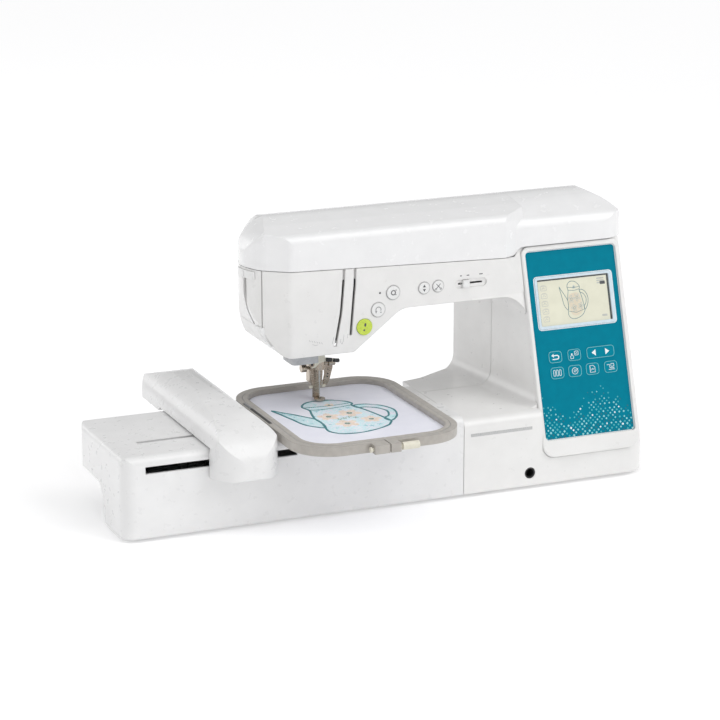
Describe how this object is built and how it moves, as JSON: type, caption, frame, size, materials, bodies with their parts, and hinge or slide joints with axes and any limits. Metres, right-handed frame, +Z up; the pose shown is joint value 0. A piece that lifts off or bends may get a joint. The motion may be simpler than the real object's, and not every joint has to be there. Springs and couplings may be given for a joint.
{
  "type": "embroidery machine",
  "caption": "Domestic sewing and embroidery machine with attached embroidery unit, moving carriage arm and hoop, tilted touch panel, hinged lid and working needle drive.",
  "frame": {"origin": "centre of the bounding box's underside, on the table", "axes": "+X along the machine's length towards the control panel, +Y from the front face to the back, +Z up"},
  "size_m": [0.598, 0.323, 0.2968],
  "materials": {
    "body_white": "satin gloss warm white",
    "lid_white": "satin gloss white",
    "unit_white": "satin gloss white",
    "teal_sheet": "smooth teal film",
    "display_trim": "pale blue-grey",
    "display": "clear window over a cream display",
    "keys": "flush film keys",
    "steel": "fine brushed",
    "cast": "cast",
    "warm_steel": "polished warm steel",
    "black": "matt black",
    "rubber": "matt",
    "grey": "fine grain",
    "hoop": "satin beige-grey",
    "button_white": "satin",
    "lime": "translucent lime green",
    "fabric": "plain woven cotton",
    "board": "solder mask",
    "clear": "clear",
    "belt": "matt"
  },
  "bodies": {
    "machine": {"base_plate": "body_white", "rubber_feet": "rubber", "front_cover": "body_white", "rear_cover": "body_white", "face_cover": "body_white", "free_arm_cover": "body_white", "casting_frame": "cast", "panel_bezel": "body_white", "panel_sheet": "teal_sheet", "display_frame": "display_trim", "display_glass": "display", "touch_keys": "keys", "needle_plate": "steel", "bobbin_cover": "clear", "timing_belt": "belt", "drive_belt": "belt", "main_motor": "cast", "circuit_board": "board", "side_thread_cutter": "button_white", "under_head_lamp": "grey", "knee_lifter_socket": "black", "power_inlet": "black", "spool_pin": "button_white"},
    "lid": {"top_lid": "lid_white"},
    "wheel": {"handwheel": "body_white", "upper_shaft": "steel", "drive_pulley": "black"},
    "low_shaft": {"lower_shaft": "steel"},
    "hook": {"rotary_hook": "steel", "bobbin": "clear"},
    "motor": {"motor_pulley": "steel"},
    "needle_drive": {"needle_bar": "steel", "needle_clamp": "warm_steel", "needle": "steel"},
    "presser": {"presser_bar": "steel", "embroidery_foot": "warm_steel"},
    "presser_handle": {"presser_lever": "black"},
    "take_up": {"take_up_lever": "steel"},
    "threader": {"threader_lever": "button_white"},
    "button_start": {"start_stop_button": "lime"},
    "button_reverse": {"reverse_button": "button_white"},
    "button_tie_off": {"tie_off_button": "button_white"},
    "button_needle": {"needle_position_button": "button_white"},
    "button_cutter": {"cutter_button": "button_white"},
    "slider": {"speed_slider": "button_white"},
    "rocker": {"power_rocker": "black"},
    "winder": {"winder_spindle": "button_white"},
    "unit": {"unit_housing": "unit_white", "unit_feet": "rubber", "x_rails": "steel", "x_motor": "cast"},
    "unit_catch": {"unit_release": "grey"},
    "carriage": {"carriage_cover": "unit_white", "carriage_bracket": "steel", "y_rail": "steel"},
    "hoop": {"hoop_holder": "grey", "hoop_outer_ring": "hoop", "hoop_inner_ring": "hoop", "hooped_fabric": "fabric"},
    "hoop_knob": {"hoop_screw": "hoop"}
  },
  "joints": [
    {"name": "lid_hinge", "type": "hinge", "parent": "machine", "child": "lid", "pos_m": [0.136, 0.1011, 0.2506], "axis": [-1, 0, 0], "range_deg": [0, 80]},
    {"name": "handwheel_turn", "type": "hinge", "parent": "machine", "child": "wheel", "pos_m": [0.286, 0.0365, 0.214], "axis": [1, 0, 0], "continuous": true},
    {"name": "lower_shaft_turn", "type": "hinge", "parent": "machine", "child": "low_shaft", "pos_m": [0.176, 0.0267, 0.048], "axis": [1, 0, 0], "continuous": true},
    {"name": "hook_turn", "type": "hinge", "parent": "machine", "child": "hook", "pos_m": [-0.048, 0.0057, 0.07], "axis": [0, 0, 1], "continuous": true},
    {"name": "motor_turn", "type": "hinge", "parent": "machine", "child": "motor", "pos_m": [0.26, -0.0145, 0.052], "axis": [1, 0, 0], "continuous": true},
    {"name": "needle_bar_slide", "type": "slide", "parent": "machine", "child": "needle_drive", "axis": [0, 0, 1], "range_m": [-0.031, 0], "deforming": ["hooped_fabric"]},
    {"name": "presser_slide", "type": "slide", "parent": "machine", "child": "presser", "axis": [0, 0, 1], "range_m": [0, 0.008]},
    {"name": "presser_lever_turn", "type": "hinge", "parent": "machine", "child": "presser_handle", "pos_m": [-0.048, 0.0815, 0.2], "axis": [1, 0, 0], "range_deg": [0, 50]},
    {"name": "take_up_swing", "type": "hinge", "parent": "machine", "child": "take_up", "pos_m": [-0.04, 0.0365, 0.2225], "axis": [-1, 0, 0], "range_deg": [-22, 18]},
    {"name": "threader_press", "type": "slide", "parent": "machine", "child": "threader", "axis": [0, 0, 1], "range_m": [-0.046, 0], "stiffness_N_per_m": 20, "springref_m": 0.03},
    {"name": "start_stop_press", "type": "slide", "parent": "machine", "child": "button_start", "axis": [0, 1, 0], "range_m": [0, 0.0012], "stiffness_N_per_m": 400},
    {"name": "reverse_press", "type": "slide", "parent": "machine", "child": "button_reverse", "axis": [0, 1, 0], "range_m": [0, 0.0012], "stiffness_N_per_m": 400},
    {"name": "tie_off_press", "type": "slide", "parent": "machine", "child": "button_tie_off", "axis": [0, 1, 0], "range_m": [0, 0.0012], "stiffness_N_per_m": 400},
    {"name": "needle_position_press", "type": "slide", "parent": "machine", "child": "button_needle", "axis": [0, 1, 0], "range_m": [0, 0.0012], "stiffness_N_per_m": 400},
    {"name": "cutter_press", "type": "slide", "parent": "machine", "child": "button_cutter", "axis": [0, 1, 0], "range_m": [0, 0.0012], "stiffness_N_per_m": 400},
    {"name": "speed_slide", "type": "slide", "parent": "machine", "child": "slider", "axis": [1, 0, 0], "range_m": [-0.004, 0.015]},
    {"name": "power_rock", "type": "hinge", "parent": "machine", "child": "rocker", "pos_m": [0.294, 0.0315, 0.038], "axis": [0, 1, 0], "range_deg": [-4, 4]},
    {"name": "winder_engage", "type": "slide", "parent": "machine", "child": "winder", "axis": [1, 0, 0], "range_m": [0, 0.006]},
    {"name": "unit_slide_off", "type": "slide", "parent": "machine", "child": "unit", "axis": [-1, 0, 0], "range_m": [0, 0.06]},
    {"name": "unit_release_press", "type": "slide", "parent": "unit", "child": "unit_catch", "axis": [0, 0, 1], "range_m": [0, 0.002], "stiffness_N_per_m": 300},
    {"name": "carriage_x", "type": "slide", "parent": "unit", "child": "carriage", "axis": [1, 0, 0], "range_m": [-0.058, 0.047]},
    {"name": "hoop_y", "type": "slide", "parent": "carriage", "child": "hoop", "axis": [0, 1, 0], "range_m": [-0.016, 0.141]},
    {"name": "hoop_screw_turn", "type": "hinge", "parent": "hoop", "child": "hoop_knob", "pos_m": [-0.021, -0.1569, 0.0946], "axis": [1, 0, 0], "continuous": true}
  ],
  "couplings": [
    {"joint": "lower_shaft_turn", "follows": "handwheel_turn", "ratio": 1},
    {"joint": "hook_turn", "follows": "handwheel_turn", "ratio": -2},
    {"joint": "motor_turn", "follows": "handwheel_turn", "ratio": 2.375},
    {"joint": "presser_slide", "follows": "presser_lever_turn", "m_per_rad": 0.0091673}
  ]
}
